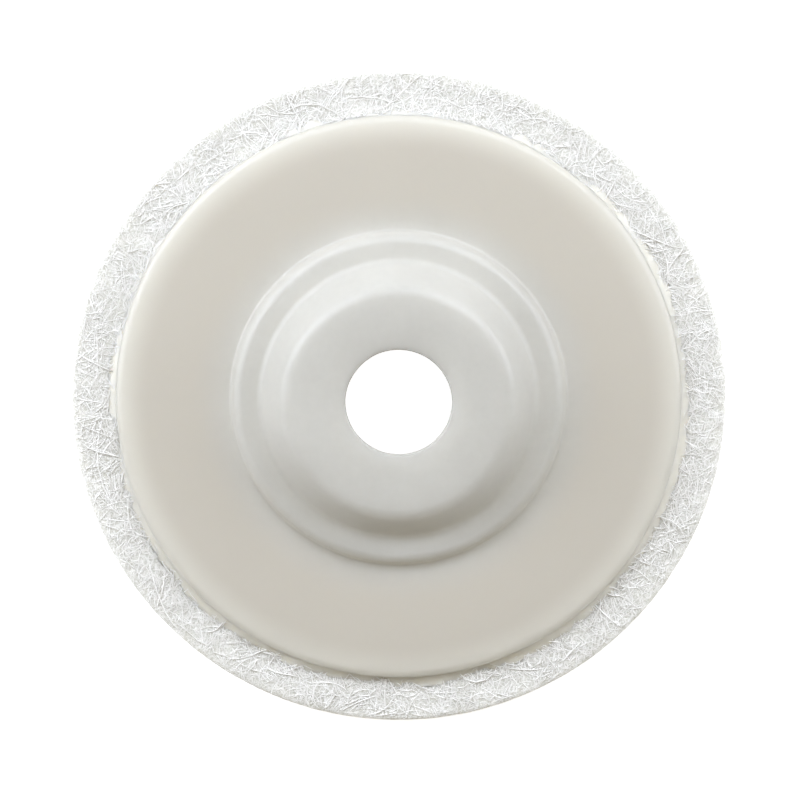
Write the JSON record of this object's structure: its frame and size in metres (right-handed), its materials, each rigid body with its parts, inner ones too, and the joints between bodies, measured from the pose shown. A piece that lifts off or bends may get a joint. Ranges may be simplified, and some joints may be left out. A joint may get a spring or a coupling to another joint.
{
  "type": "felt polishing disc",
  "caption": "Round polishing disc: a ring of thick pressed felt bonded to a moulded nylon backing plate with a raised hollow hub and a central arbor bore.",
  "frame": {"origin": "centre of the felt's working face, which the disc lies on", "axes": "+Z along the arbor axis, out of the working face's back towards the hub and the grinder; X and Y are any two directions square to it"},
  "size_m": [0.1, 0.1, 0.02],
  "materials": {
    "felt": "pressed white wool felt with loose surface fibres",
    "adhesive": "cured cream adhesive, smooth and slightly translucent",
    "nylon": "moulded natural nylon, translucent ivory with a satin skin"
  },
  "bodies": {
    "root": {"felt_pad": "felt", "adhesive_bond": "adhesive", "backing_plate": "nylon"}
  },
  "joints": []
}
